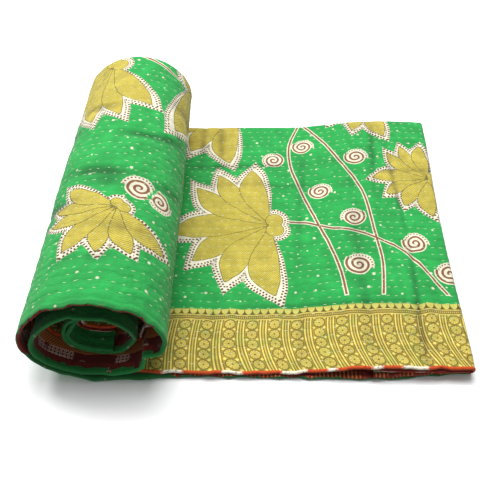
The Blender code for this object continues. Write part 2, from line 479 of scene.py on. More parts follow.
def middle_frame(place, depth):
    """Point, tangent and normal of the quilt's middle at this place and depth."""
    turn = np.maximum(-place, 0.0) + np.zeros_like(depth)
    rolled = roll_point(turn, depth)
    tangent, normal = section_frame(roll_point, turn, depth)
    flat = (place >= 0)[..., None]
    height = layer_height(place) + HALF_QUILT
    level = np.stack(np.broadcast_arrays(place, 0.0, height), -1)
    return (
        np.where(flat, level, rolled),
        np.where(flat, (1.0, 0.0, 0.0), tangent),
        np.where(flat, (0.0, 0.0, 1.0), normal),
    )


def upper_swell(place, depth):
    """Extra height of the upper layer on the flat part."""
    total = 0.0
    for along, deep, reach_along, reach_deep, height in SWELLS:
        off = ((place - along) / reach_along) ** 2 + ((depth - deep) / reach_deep) ** 2
        total = total + height * np.exp(-off)
    step = eased(place, RIGHT_FLAP_EDGE - FLAP_STEP_REACH, RIGHT_FLAP_EDGE)
    fall = eased(place, RIGHT_FLAP_EDGE, TIP_START)
    total = total + FLAP_STEP_HEIGHT * step * (1 - fall)
    return total * eased(place, SWELL_START, SWELL_FULL)


def ruffles(along, shift):
    """Small waves along an open edge."""
    total = 0.0
    for height, length, start in EDGE_RUFFLES:
        total = total + height * np.sin(2 * math.pi * along / length + start + 1.7 * shift)
    return total


def crumples(along, depth):
    """Ridged waves in many directions, from 0 in their troughs."""
    random = np.random.default_rng(CRUMPLE_SEED)
    total = 0.0
    for index in range(CRUMPLE_COUNT):
        angle = random.uniform(0.0, math.pi)
        length = random.uniform(*CRUMPLE_LENGTHS)
        bend = random.uniform(*CRUMPLE_BENDS)
        start = random.uniform(0.0, 2 * math.pi, 2)
        line = along * math.cos(angle) + depth * math.sin(angle)
        across = depth * math.cos(angle) - along * math.sin(angle)
        bend_length = length * CRUMPLE_BEND_LENGTHS
        line = line + bend * np.sin(2 * math.pi * across / bend_length + start[0])
        wave = 1 - np.abs(np.sin(math.pi * line / length + start[1]))
        here = 0.5 + 0.5 * np.sin(across * 41.0 + line * 17.0 + start[1])
        total = total + wave**2 * here
    return total * CRUMPLE_HEIGHT * CRUMPLE_GAIN / CRUMPLE_COUNT


def station_table():
    """Columns: place, height of the layer, way past that place, kept by the lower half, kept
    by the upper half."""
    found = []
    for kind, start, end, steps, lower, upper in STATION_RUNS:
        for index in range(steps):
            place = start + (end - start) * index / steps
            keep = (index % lower == 0, index % upper == 0)
            angle = math.pi * (index / steps - 0.5)
            if kind == "flap":
                found.append((place, SINGLE, 0.0, *keep))
            elif kind == "left tip":
                height = LAYER_PITCH + SINGLE * math.sin(angle)
                found.append((place, height, -SINGLE * math.cos(angle), *keep))
            elif kind == "right tip":
                height = LAYER_PITCH - SINGLE * math.sin(angle)
                found.append((place, height, SINGLE * math.cos(angle), *keep))
            else:
                found.append((place, float(layer_height(place)), 0.0, *keep))
    found.append((RIGHT_FLAP_EDGE, SINGLE, 0.0, True, True))
    return np.array(found, dtype=float)


def row_table():
    """Columns: side from -1 below to 1 above, share of the depth, bulge at the fold, inset
    from the near edge. From the lower edge round the far fold to the upper edge."""
    lower = [(-1.0, 0.0, 0.0, inset) for inset in NEAR_INSETS]
    shares = np.linspace(FIRST_SHARE, 1.0, SHARE_STEPS, endpoint=False)
    lower += [(-1.0, share, 0.0, 0.0) for share in shares]
    fold = [
        (-math.cos(angle), 1.0, math.sin(angle), 0.0)
        for angle in np.linspace(0.0, math.pi, FOLD_STEPS + 1)
    ]
    upper = [(1.0, share, 0.0, inset) for side, share, bulge, inset in reversed(lower)]
    return np.array(lower + fold + upper, dtype=float)


class Surface:
    """The quilt's middle on a fine grid, with its outward normals and cloth places."""

    def __init__(self):
        self.stations = station_table()
        rows = row_table()
        self.seam = len(NEAR_INSETS) + SHARE_STEPS + FOLD_STEPS // 2
        self.along = self.along_cloth()
        along = self.along[:, None]
        place, height, beyond = (self.stations[:, column, None] for column in range(3))
        side, share, bulge, inset = (rows[None, :, column] for column in range(4))
        near = np.where(side < 0, near_edge(place, 1), near_edge(place, 2))
        fade = np.exp(-(inset + share * DEPTH) / RUFFLE_REACH)
        fade = fade * (1 + (ROLL_RUFFLE - 1) * eased(-along, 0.0, ROLL_RUFFLE_FULL))
        near = near + ruffles(along, side) * fade
        fold = DEPTH - layer_height(place) - HALF_QUILT
        fold = fold + FAR_STEP * eased(place, FAR_STEP_START, FAR_STEP_FULL)
        depth = near + (fold - near) * share + inset + height * bulge
        point, tangent, normal = middle_frame(place, depth)
        flat = place > 0
        off = height * side + flat * upper_swell(place, depth) * (1 + side) / 2
        off = off + ruffles(along, side + RUFFLE_SHIFT) * fade * RUFFLE_LIFT
        rough = crumples(along, depth)
        folds = pressed_folds(along, depth)
        full = eased(np.abs(along), CRUMPLE_START, CRUMPLE_FULL)
        off = off + (rough + folds) * full * np.where(flat, (1 + side) / 2, -1.0)
        # Painted shade: the cloth's colour is darkened in the troughs of the folds and crumples
        trough_shade = CRUMPLE_SHADE * (1 - rough / CRUMPLE_HEIGHT)
        painted_shade = np.clip(-folds / DEEPEST_FOLD, 0.0, 1.0) + trough_shade
        self.painted_shade = np.clip(painted_shade, 0.0, 1.0) * full
        bow = BOW * eased(place, BOW_START, TIP_START) * np.sin(np.pi * depth / DEPTH) ** 2
        middle = point + tangent * (beyond - flat * bow)[..., None] + normal * off[..., None]
        middle[..., 1] += depth
        middle += (CLOTH_HIGH.x - ROLL_TO_TIP, CLOTH_HIGH.y - DEPTH - FAR_STEP, 0.0)
        middle[..., 2] = np.maximum(middle[..., 2], HALF_QUILT)
        self.middle = middle
        self.out = unit(np.cross(np.gradient(middle, axis=1), np.gradient(middle, axis=0)))
        self.half_width = 0.0
        self.across = self.across_cloth()

    def along_cloth(self):
        """Distance along the cloth at each station, 0 where the roll meets the flat part."""
        place, height, beyond = self.stations[:, 0], self.stations[:, 1], self.stations[:, 2]
        turn = np.maximum(-place, 0.0)
        path = section_point(turn, np.full(len(place), DEPTH / 2))
        path[:, 0] = np.where(place > 0, place, path[:, 0])
        steps = np.linalg.norm(np.diff(path, axis=0), axis=1)
        round_tips = np.hypot(np.diff(height), np.diff(beyond)) * (steps < 1e-9)
        found = np.concatenate([[0.0], np.cumsum(steps + round_tips)])
        return found - np.interp(0.0, place[self.main_run()], found[self.main_run()])

    def main_run(self):
        """The stations from the roll's inner end to the right fold."""
        start = sum(run[3] for run in STATION_RUNS[: MAIN_RUNS.start])
        return slice(start, start + sum(run[3] for run in STATION_RUNS[MAIN_RUNS]))

    def across_cloth(self):
        """Distance across the cloth from the upper edge, each half drawn to the mean width."""
        steps = np.linalg.norm(np.diff(self.middle, axis=1), axis=2)
        lower = np.cumsum(steps[:, : self.seam], axis=1)
        lower = np.hstack([np.zeros((len(steps), 1)), lower])
        upper = np.cumsum(steps[:, self.seam :][:, ::-1], axis=1)[:, ::-1]
        upper = np.hstack([upper, np.zeros((len(steps), 1))])
        self.half_width = float((lower[:, -1].mean() + upper[:, 0].mean()) / 2)
        lower *= self.half_width / lower[:, -1:]
        upper *= self.half_width / upper[:, :1]
        return np.hstack([2 * self.half_width - lower[:, :-1], upper])

    def hem(self, edge, rows, inward):
        """Points and extra distance of a hem that turns from one side of the quilt over its
        edge to the other. Inward is the step from the edge to the next row."""
        middle = self.middle[:, edge]
        past = unit(middle - self.middle[:, edge + inward])
        out = self.out[:, edge] * inward
        points = []
        lengths = []
        for index in range(1, HEM_ARC_STEPS + 1):
            angle = math.pi * index / HEM_ARC_STEPS
            radius = HALF_QUILT + HEM_LIFT * index / HEM_ARC_STEPS
            points.append(middle + radius * (out * math.cos(angle) + past * math.sin(angle)))
            lengths.append(radius * angle)
        for index in range(1, rows + 1):
            column = edge + inward * index
            lift = HALF_QUILT + (HEM_LIFT if index < rows else -HEM_LIFT / 3)
            points.append(self.middle[:, column] - self.out[:, column] * inward * lift)
            lengths.append(lengths[HEM_ARC_STEPS - 1] + NEAR_INSETS[index])
        return np.stack(points, axis=1), np.array(lengths)


@functools.cache
def quilt_surface():
    return Surface()


def puckers(along, across, row_pitch):
    """Small swells of the cloth between the rows of stitches, uneven along each row."""
    row = across / row_pitch
    index = np.floor(row)
    rise = np.abs(np.sin(np.pi * row))
    uneven = 0.65 + 0.35 * np.sin(along * 260.0 + index * 2.4) * np.sin(along * 97.0 + index * 1.3)
    return rise * uneven


def mesh_object(name, points, faces, materials):
    """A smooth shaded mesh with each of these materials."""
    mesh = bpy.data.meshes.new(name)
    mesh.from_pydata(points.tolist(), [], faces)
    mesh.shade_smooth()
    for material in materials:
        mesh.materials.append(material)
    thing = bpy.data.objects.new(name, mesh)
    bpy.context.scene.collection.objects.link(thing)
    return thing


def put_attribute(mesh, name, values):
    """Stores one number or one vector for each point of a mesh."""
    kind, key = ("FLOAT", "value") if values.ndim == 1 else ("FLOAT_VECTOR", "vector")
    made = mesh.attributes.new(name, kind, "POINT")
    made.data.foreach_set(key, np.ascontiguousarray(values, dtype=np.float32).ravel())


def grid_faces(kept, columns, across):
    """Quads between these stations and columns of a grid with this many columns."""
    first, second = kept[:-1, None], kept[1:, None]
    start, end = columns[None, :-1], columns[None, 1:]
    corners = (first * across + start, first * across + end,
               second * across + end, second * across + start)
    return np.stack(corners, axis=-1).reshape(-1, 4).tolist()


def seam_faces(kept, seam_kept, seam, other, across):
    """Faces between the shared row at the far fold and the next row of one half."""
    faces = []
    for first, second in zip(kept[:-1], kept[1:]):
        between = [i for i in seam_kept if first < i < second]
        if other > seam:
            outer = [first * across + other, second * across + other]
            faces.append([first * across + seam, *outer, second * across + seam]
                         + [i * across + seam for i in reversed(between)])
        else:
            inner = [i * across + seam for i in (first, *between, second)]
            faces.append([first * across + other, *inner, second * across + other])
    return faces


def compact(points, faces):
    """Only the points that the faces use, with the faces renumbered and the kept indices."""
    used = np.unique(np.concatenate([np.asarray(face) for face in faces]))
    place = np.full(len(points), -1)
    place[used] = np.arange(len(used))
    return points[used], [[int(place[i]) for i in face] for face in faces], used


def smooth_path(points, steps):
    """A smooth curve through each of these points, for an open line."""
    path = np.array(points, dtype=float)
    ends = np.vstack([2 * path[0] - path[1], path, 2 * path[-1] - path[-2]])
    found = []
    for a, b, c, d in zip(ends, ends[1:], ends[2:], ends[3:]):
        for t in np.arange(steps) / steps:
            found.append(b + 0.5 * t * (c - a + t * (2 * a - 5 * b + 4 * c - d
                                                     + t * (3 * (b - c) + d - a))))
    return np.array([*found, path[-1]])


def nearest_on(path, points):
    """For each point its distance to a path, the side it lies on, the segment's index and the
    share along that segment."""
    start, way = path[:-1], np.diff(path, axis=0)
    long = (way**2).sum(1)
    to = points[:, None] - start[None]
    share = np.clip((to * way).sum(2) / np.maximum(long, 1e-15), 0.0, 1.0)
    gap = np.linalg.norm(to - share[..., None] * way, axis=2)
    index = gap.argmin(1)
    rows = np.arange(len(points))
    side = way[index, 0] * to[rows, index, 1] - way[index, 1] * to[rows, index, 0]
    return gap[rows, index], np.sign(side), index, share[rows, index]


def inside(outline, points):
    """Whether each point lies inside a closed outline."""
    x, y = points[:, None, 0], points[:, None, 1]
    x0, y0 = outline[:-1, 0], outline[:-1, 1]
    x1, y1 = outline[1:, 0], outline[1:, 1]
    crosses = (y0 > y) != (y1 > y)
    at = x0 + (y - y0) * (x1 - x0) / np.where(y1 == y0, 1e-12, y1 - y0)
    return (crosses & (x < at)).sum(1) % 2 == 1


def signed_distance(outline, points):
    """Distance to a closed outline, below zero inside it."""
    return nearest_on(outline, points)[0] * np.where(inside(outline, points), -1.0, 1.0)


def polar(angle, reach):
    return np.array([math.cos(math.radians(angle)), math.sin(math.radians(angle))]) * reach


def petal_outline(profile, tip_hook, angle, reach, right_belly, left_belly):
    """A leaf from the flower's middle to its tip, which hooks away from the heading."""
    way = polar(angle, 1.0)
    left = np.array([-way[1], way[0]])
    share, wide = smooth_path(profile, PETAL_STEPS).T
    hook = tip_hook * math.copysign(1.0, angle) * np.clip((share - 0.5) / 0.5, 0.0, 1.0) ** 2
    outline = []
    for belly, backwards in ((-right_belly, False), (left_belly, True)):
        side = np.outer(share * reach, way) + np.outer(wide * belly + hook, left)
        outline.append(side[::-1] if backwards else side)
    return np.vstack([*outline, outline[0][:1]])


def ring(x, y, radius):
    angles = np.linspace(0.0, 2 * math.pi, 25)
    return np.stack([x + radius * np.cos(angles), y + radius * np.sin(angles)], axis=1)


def band_shapes():
    """The bigger petals and lobes of a band, each with its way from the tip at each corner."""
    shapes = []
    for angle, reach, right_belly, left_belly in PETALS:
        outline = petal_outline(BAND_PROFILE, BAND_HOOK, angle, reach * BAND_REACH,
                                right_belly + BAND_WIDE, left_belly + BAND_WIDE)
        shapes.append((outline, PETAL_STEPS * (len(BAND_PROFILE) - 1)))
    shapes += [(ring(x, y, radius + BAND_WIDE), 0) for x, y, radius in LOBES]
    found = []
    for outline, start in shapes:
        steps = np.linalg.norm(np.diff(outline, axis=0), axis=1)
        way = np.concatenate([[0.0], np.cumsum(steps)])
        found.append((outline, np.abs(way - way[start])))
    return found


def to_upper(half, along, across, half_width):
    """A place in the upper half's view."""
    return (along, across) if half == "upper" else (-along, 2 * half_width - across)


def seen_from(places, half, along, across, heading, half_width):
    """Places seen from a print's middle, with the first axis along its heading."""
    offset = places - np.array(to_upper(half, along, across, half_width))
    turn = math.radians(heading + (HALF_TURN if half == "lower" else 0.0))
    ahead = offset[:, 0] * math.cos(turn) + offset[:, 1] * math.sin(turn)
    aside = offset[:, 1] * math.cos(turn) - offset[:, 0] * math.sin(turn)
    return np.stack([ahead, aside], axis=1)


def flower_fields(places, half_width):
    """Distances to the petals, painted in order, and to the band, and the dots along it."""
    petals = np.full((len(places), len(PETALS) + 1), FAR_AWAY)
    band = np.full(len(places), FAR_AWAY)
    along_band = np.zeros(len(places))
    shapes = [petal_outline(PETAL_PROFILE, TIP_HOOK, *petal) for petal in PETALS]
    for half, along, across, heading, size, mirrored in FLOWERS:
        local = seen_from(places, half, along, across, heading, half_width)
        near = np.flatnonzero(np.linalg.norm(local, axis=1) < FLOWER_REACH * size + FLOWER_MARGIN)
        local = local[near] / size
        if mirrored:
            local[:, 1] *= -1
        for index, shape in enumerate(shapes):
            found = signed_distance(shape, local) * size
            petals[near, index] = np.minimum(petals[near, index], found)
        for lobe in LOBES:
            found = signed_distance(ring(*lobe), local) * size
            petals[near, -1] = np.minimum(petals[near, -1], found)
        for outline, way in band_shapes():
            gap, _, index, share = nearest_on(outline, local)
            found = gap * size * np.where(inside(outline, local), -1.0, 1.0)
            closer = found < band[near]
            count = (way[index] + (way[index + 1] - way[index]) * share) * size / DOT_PITCH
            along_band[near] = np.where(closer, count, along_band[near])
            band[near] = np.where(closer, found, band[near])
    return petals, band, along_band


def vine_fields(places, half_width):
    """Signed distances to the three vines of the flat part, or to the roll's own."""
    def signed_gap(vine):
        gap, side = nearest_on(smooth_path(vine, VINE_STEPS), places)[:2]
        return gap * np.where(side == 0, 1.0, side)

    on_roll = places[:, 0] < 0
    roll = [to_upper("lower", along, across, half_width) for along, across in VINE_ROLL]
    flat = [signed_gap(vine) for vine in (VINE_FAR, VINE_RIGHT, VINE_CROSS)]
    rolled = [signed_gap(roll), FAR_AWAY, FAR_AWAY]
    return np.stack([np.where(on_roll, a, b) for a, b in zip(rolled, flat)], axis=1)


def curl_fields(places, half_width):
    """Place within the nearest curl, in curl sizes and turned to it, and whether near one."""
    fields = np.zeros((len(places), 3))
    nearest = np.full(len(places), CURL_FAR)
    second = np.full(len(places), 2 * CURL_FAR)
    for half, along, across, size, end, turning in CURLS:
        local = seen_from(places, half, along, across, end, half_width) / (CURL_SIZE * size)
        local[:, 1] *= turning
        reach = np.linalg.norm(local, axis=1)
        near = reach < nearest
        second = np.where(near, nearest, np.minimum(second, reach))
        nearest = np.minimum(nearest, reach)
        fields[near, :2] = local[near]
        fields[near, 2] = 1.0
    between = (second - nearest < CURL_GAP) & (second < CURL_FAR)
    fields[between] = 0.0
    return fields


class Value:
    """A socket that adds Math nodes where it is used in arithmetic."""

    def __init__(self, finish, socket):
        self.finish = finish
        self.socket = socket

    def __add__(self, other):
        return self.finish.math("ADD", self, other)

    def __radd__(self, other):
        return self.finish.math("ADD", other, self)

    def __sub__(self, other):
        return self.finish.math("SUBTRACT", self, other)

    def __rsub__(self, other):
        return self.finish.math("SUBTRACT", other, self)

    def __mul__(self, other):
        return self.finish.math("MULTIPLY", self, other)

    def __rmul__(self, other):
        return self.finish.math("MULTIPLY", other, self)

    def __truediv__(self, other):
        return self.finish.math("DIVIDE", self, other)

    def __mod__(self, other):
        return self.finish.math("FLOORED_MODULO", self, other)

    def __pow__(self, other):
        return self.finish.math("POWER", self, other)

    def __abs__(self):
        return self.finish.math("ABSOLUTE", self)

    def below(self, limit, soft):
        """1 where this is under the limit, 0 where it is over it, and soft between."""
        return self.finish.math("MULTIPLY_ADD", limit - self, 1.0 / soft, 0.5, clamp=True)

    def near(self, place, half, soft):
        """1 within this half width of a place."""
        return abs(self - place).below(half, soft)

    def stripes(self, pitch, half, soft):
        """1 on a stripe in the middle of each pitch, with its half width in pitches."""
        return ((self / pitch) % 1.0).near(0.5, half, soft)


class Finish:
    """One material, built from nodes."""

    def __init__(self, name):
        self.material = bpy.data.materials.new(name)
        self.material.use_nodes = True
        self.tree = self.material.node_tree
        self.shader = self.tree.nodes["Principled BSDF"]

    def put(self, socket, value):
        if isinstance(value, Value):
            self.tree.links.new(value.socket, socket)
        else:
            socket.default_value = value

    def node(self, kind, settings, inputs, output=0):
        """A node of this kind, with its settings, its sockets' values or links, and one of
        its outputs as the result."""
        made = self.tree.nodes.new(kind)
        for name, value in settings.items():
            setattr(made, name, value)
        for key, value in inputs.items():
            self.put(made.inputs[key], value)
        return Value(self, made.outputs[output])

    def math(self, operation, *values, clamp=False):
        settings = {"operation": operation, "use_clamp": clamp}
        return self.node("ShaderNodeMath", settings, dict(enumerate(values)))

    def most(self, *values):
        """The largest of these values."""
        return functools.reduce(lambda a, b: self.math("MAXIMUM", a, b), values)

    def least(self, *values):
        """The smallest of these values."""
        return functools.reduce(lambda a, b: self.math("MINIMUM", a, b), values)

    def mix(self, factor, first, second, blend="MIX"):
        """A colour between two colours, or both multiplied."""
        settings = {"data_type": "RGBA", "blend_type": blend}
        inputs = {0: factor, 6: rgba(first), 7: rgba(second)}
        return self.node("ShaderNodeMix", settings, inputs, output=2)

    def shade(self, colour, factor):
        """A colour made lighter or darker by a factor."""
        grey = self.node("ShaderNodeCombineColor", {}, {0: factor, 1: factor, 2: factor})
        return self.mix(1.0, colour, grey, blend="MULTIPLY")

    def stored(self, name):
        """The three parts of a vector attribute."""
        vector = self.node("ShaderNodeAttribute", {"attribute_name": name}, {}, output=1)
        return [self.node("ShaderNodeSeparateXYZ", {}, {0: vector}, output=k) for k in range(3)]

    def vector(self, x, y):
        return self.node("ShaderNodeCombineXYZ", {}, {0: x, 1: y})

    def noise(self, vector, scale, detail=2.0, roughness=0.5):
        inputs = {"Vector": vector, "Scale": scale, "Detail": detail, "Roughness": roughness}
        return self.node("ShaderNodeTexNoise", {}, inputs)

    def bump(self, height, strength, distance, normal=None):
        inputs = {"Strength": strength, "Distance": distance, "Height": height}
        if normal is not None:
            inputs["Normal"] = normal
        return self.node("ShaderNodeBump", {}, inputs)


def rgba(colour):
    """A plain colour with its alpha, or a node's colour as it is."""
    return colour if isinstance(colour, Value) else (*colour, 1.0)


def distance(x, y):
    return (x * x + y * y) ** 0.5


def column_colour(finish, along, across, looks):
    """Columns of rosettes between bars, which lean and bend as the cloth was pulled."""
    light, middle, dark = looks.border_light, looks.border_middle, looks.border_dark
    share = finish.math("MINIMUM", across / BORDER_SKEW_TOP, 1.0)
    low = 1.0 - share
    drift = finish.math("SINE", share * math.pi) * -BORDER_DRIFT
    lean_step = (1.0 - along.below(LEAN_STEP_PLACE, 0.05)) * LEAN_STEP
    lean = along * LEAN_PER_METRE + lean_step - LEAN_BACK
    moved = along - lean * low * low - drift
    column = (moved / COLUMN_PITCH) % 1.0 * COLUMN_PITCH - COLUMN_PITCH / 2
    down = ((LADDER_LOW - across) / ROSE_PITCH) % 1.0 * ROSE_PITCH - ROSE_PITCH / 2
    reach = distance(column, down)
    spokes = finish.math("COSINE", finish.math("ARCTAN2", down, column) * ROSE_SPOKES)
    petals = reach.below(ROSE_PETALS, FINE) * spokes.below(0.55, 0.5) * 0.75
    rim = finish.most(reach.near(ROSE_RADIUS, 0.0005, FINE), reach.below(ROSE_HEART, FINE))
    spot = abs(abs(column) - SPOT_ASIDE) + (ROSE_PITCH / 2 - abs(down))
    spot = spot.below(SPOT_SIZE, FINE)

    # Bars between the columns
    from_bars = COLUMN_PITCH / 2 - abs(column)
    bars = finish.most(from_bars.near(0.0036, 0.0008, FINE), from_bars.below(0.0006, FINE) * 0.6)
    colour = finish.mix(from_bars.near(0.0018, 0.0007, FINE) * 0.55, middle, dark)
    colour = finish.mix(from_bars.near(0.0054, 0.0005, FINE) * 0.7, colour, dark)
    colour = finish.mix(finish.most(bars, spot), colour, light)
    colour = finish.mix(petals * 0.8, colour, light)
    return finish.mix(rim * 0.9, colour, dark)


def border_colour(finish, along, across, looks):
    """The woven border: scallops along its inner edge and a ladder band, over its columns."""
    light, middle, dark = looks.border_light, looks.border_middle, looks.border_dark
    colour = column_colour(finish, along, across, looks)

    # Ladder band
    ladder = across.below(LADDER_HIGH, FINE)
    on_ladder = ladder * (1.0 - across.below(LADDER_LOW, FINE))
    ticks = along.stripes(TICK_PITCH, 0.27, 0.2)
    ticks = ticks * across.near((LADDER_LOW + LADDER_HIGH) / 2, 0.0014, FINE)
    rails = finish.most(across.near(LADDER_LOW + 0.0010, 0.0008, FINE),
                        across.near(LADDER_HIGH - 0.0010, 0.0008, FINE))
    ladder_colour = finish.mix(finish.most(rails, ticks * 0.7), dark, light)
    colour = finish.mix(on_ladder, colour, finish.mix(0.25, ladder_colour, middle))

    # Scallops along the inner edge
    scallop_x = ((along / SCALLOP_PITCH) % 1.0 - 0.5) * SCALLOP_PITCH / SCALLOP_HALF
    scallop_y = (BORDER - across) / SCALLOP_HIGH
    scallop = (scallop_x * scallop_x + scallop_y * scallop_y).below(1.0, 0.25)
    scallops = finish.mix(scallop, dark, finish.mix(0.25, light, looks.green))
    colour = finish.mix(1.0 - ladder, colour, scallops)
    greenish = finish.noise(finish.vector(along, across), 55.0, 3.0).below(0.44, 0.20) * 0.17
    return finish.mix(greenish, colour, looks.green)


class Print:
    """The front cloth's print, painted in layers over each other."""

    def __init__(self, finish, looks, half_width):
        self.finish = finish
        self.looks = looks
        self.width = 2 * half_width
        # The cloth attribute holds the place on the cloth and the painted shade of its creases
        self.along, self.across, self.painted_shade = finish.stored("cloth")
        self.place = finish.vector(self.along, self.across)
        self.rough_edge = (finish.noise(self.place, 420.0, 3.0) - 0.5) * 0.0008
        self.colour = looks.green
        self.field()
        self.vines()
        self.curls()
        self.flowers()
        border = border_colour(finish, self.along, self.across, looks)
        self.paint(self.across.below(BORDER, SOFT), border)
        self.hem()

    def paint(self, where, colour):
        self.colour = self.finish.mix(where, self.colour, colour)

    def field(self):
        """Two greens with scattered dots."""
        finish = self.finish
        self.paint(finish.noise(self.place, 22.0, 5.0, 0.62), self.looks.green_light)
        cells = finish.node("ShaderNodeTexVoronoi", {"feature": "F1", "voronoi_dimensions": "2D"},
                            {"Vector": self.place, "Scale": 27.0, "Randomness": 0.75})
        dot_size = finish.noise(self.place, 33.0) * 0.10 - 0.004
        self.paint((cells + self.rough_edge * 20.0).below(dot_size, 0.02) * 0.85, self.looks.cream)

    def vines(self):
        """Brown lines with a cream outline, down to the border."""
        nearest = self.finish.least(*[abs(vine) for vine in self.finish.stored("vines")])
        nearest = nearest + self.rough_edge
        outlined = 1.0 - self.across.below(VINE_END, SOFT)
        drawn = 1.0 - self.across.below(VINE_STOP, SOFT)
        self.paint(nearest.below(VINE_CREAM_HALF, SOFT) * outlined, self.looks.cream)
        self.paint(nearest.below(VINE_HALF, SOFT) * drawn, self.looks.brown)

    def curls(self):
        """Brown spirals on cream, each with a dotted arc outside."""
        finish = self.finish
        x, y, on = finish.stored("curls")
        reach = distance(x, y) / finish.most(on, 0.1)
        turn_share = (finish.math("ARCTAN2", y, x) / (2 * math.pi)) % 1.0
        in_tail = 1.0 - turn_share.below(CURL_TAIL, 0.005)
        outer = CURL_START - turn_share * CURL_PITCH
        past = reach - (outer + in_tail * CURL_PITCH)
        phase = ((outer - reach) / CURL_PITCH + 0.5) % 1.0 - 0.5
        near_curl = 1.0 - on.below(0.5, 0.5)
        teeth = abs((turn_share * CURL_DOTS) % 1.0 - 0.5)
        dotted = near_curl * (reach + teeth * 0.12 - outer).below(CURL_DOTS_CREAM, 0.04)
        dotted = dotted * turn_share.near(CURL_DOTS_MIDDLE, CURL_DOTS_REACH, 0.01)
        line = abs(phase).below(CURL_LINE, 0.08) * past.below(0.14, 0.04)
        line = line * near_curl * (1.0 - reach.below(0.06, 0.05))
        dots = (reach - outer).near(CURL_DOTS_OUT, 0.07, 0.05)
        dots = teeth.below(0.24, 0.15) * dots * dotted
        self.paint(finish.most(near_curl * past.below(0.20, 0.04), dotted), self.looks.cream)
        self.paint(line, self.looks.brown)
        self.paint(dots, self.looks.brown)

    def flowers(self):
        """Each flower's cream band with two rows of dots, then its petals in order."""
        finish, looks = self.finish, self.looks
        *petals, band = [part for name in ("petals_a", "petals_b", "petals_c")
                         for part in finish.stored(name)]
        band = band + self.rough_edge
        counted = finish.node("ShaderNodeAttribute", {"attribute_name": "band_dots"}, {}, output=2)
        scalloped = abs(counted % 1.0 - 0.5) * 0.0012
        in_band = (band + scalloped).below(0.0, SOFT)
        outer_x = (counted % 1.0 - 0.5) * DOT_PITCH
        outer_dots = distance(outer_x, (band + OUTER_DOTS) * 0.75).below(DOT_RADIUS, SOFT)
        inner_x = ((counted + 0.5) % 1.0 - 0.5) * DOT_PITCH
        inner_dots = distance(inner_x, band + INNER_DOTS).below(DOT_RADIUS, SOFT)
        self.paint(in_band, looks.cream)
        self.paint(finish.most(outer_dots, inner_dots) * in_band, looks.brown_deep)
        hatch = finish.math("SINE", (self.along - self.across) * (2 * math.pi / HATCH_PITCH))
        specks = finish.noise(self.place, 520.0, 2.0)
        gold = finish.mix(finish.noise(self.place, 14.0, 3.0), looks.gold, looks.gold_light)
        hatched = finish.math("MULTIPLY", hatch * 0.55 + specks * 1.25, 0.82, clamp=True)
        gold = finish.mix(hatched, gold, looks.gold_dark)
        for petal in petals:
            reach = petal + self.rough_edge
            self.paint(reach.below(0.0004, SOFT), looks.olive)
            self.paint(reach.below(-0.0006, SOFT), gold)

    def hem(self):
        """The lower hem: painted shade in deep green over its rim, more on the flat part and under
        the roll, then dark red with small gold bars in the flat part.
        """
        finish, looks, along, across = self.finish, self.looks, self.along, self.across
        on_flat = 1.0 - along.below(FLAT_HEM, 0.02)
        on_flap = 1.0 - along.below(FLAP_HEM, 0.004)
        under_roll = 1.0 - along.below(UNDER_ROLL_HEM, 0.03)
        # Painted shade: the hem's rim is mixed towards deep green, more under the roll and on the
        # flat part
        hem_side = 1.0 - across.below(self.width - GREEN_INSIDE, 0.002)
        hem_shade_share = on_flat * 0.10 + under_roll * 0.42 + 0.38
        self.paint(hem_side * hem_shade_share, looks.green_hem_shade)
        ticks = along.stripes(GOLD_BAR_PITCH, 0.20, 0.12)
        ticks = ticks * finish.noise(self.place, 60.0).below(0.50, 0.1) * on_flat
        cloudy = finish.noise(self.place, 160.0, 3.0)
        red = finish.mix(ticks * 0.7, finish.mix(cloudy, looks.back_red_deep, looks.back_red),
                         looks.back_gold)
        wavy = (finish.noise(self.place, 130.0, 2.0) - 0.5) * RED_WAVES
        on_top = along.below(TOP_HEM_END, 0.03) * (1.0 - along.below(TOP_HEM_START, 0.04))
        sooner = finish.most(on_top * RED_SOONER_ON_TOP, on_flat * RED_SOONER_ON_FLAT)
        hem_top = 1.0 - (across + wavy + sooner).below(self.width + RED_PAST, 0.001)
        self.paint(finish.most(hem_top, hem_side * on_flap), red)


def cloth_weave(finish, along, across):
    """Fine threads that run both ways."""
    threads = finish.noise(finish.vector(along * 0.25, across), 1500.0, 1.0)
    threads_up = finish.noise(finish.vector(along, across * 0.25), 1500.0, 1.0)
    return (threads + threads_up) * 0.5


def row_rise(finish, across, sizes):
    """How far the cloth swells between its rows of stitches."""
    return abs(finish.math("SINE", (across / sizes.row_pitch) * math.pi))


def dress_cloth(finish, colour, roughness, height, bump_distance, weave):
    """Puts a colour, a roughness and a woven relief on a cotton cloth."""
    finish.put(finish.shader.inputs["Base Color"], colour)
    finish.put(finish.shader.inputs["Roughness"], roughness)
    soft_bump = finish.bump(height, 1.0, bump_distance)
    finish.put(finish.shader.inputs["Normal"], finish.bump(weave, 0.5, 0.00035, soft_bump))
    finish.shader.inputs["Sheen Weight"].default_value = 0.10
    finish.shader.inputs["Specular IOR Level"].default_value = 0.30
    return finish.material


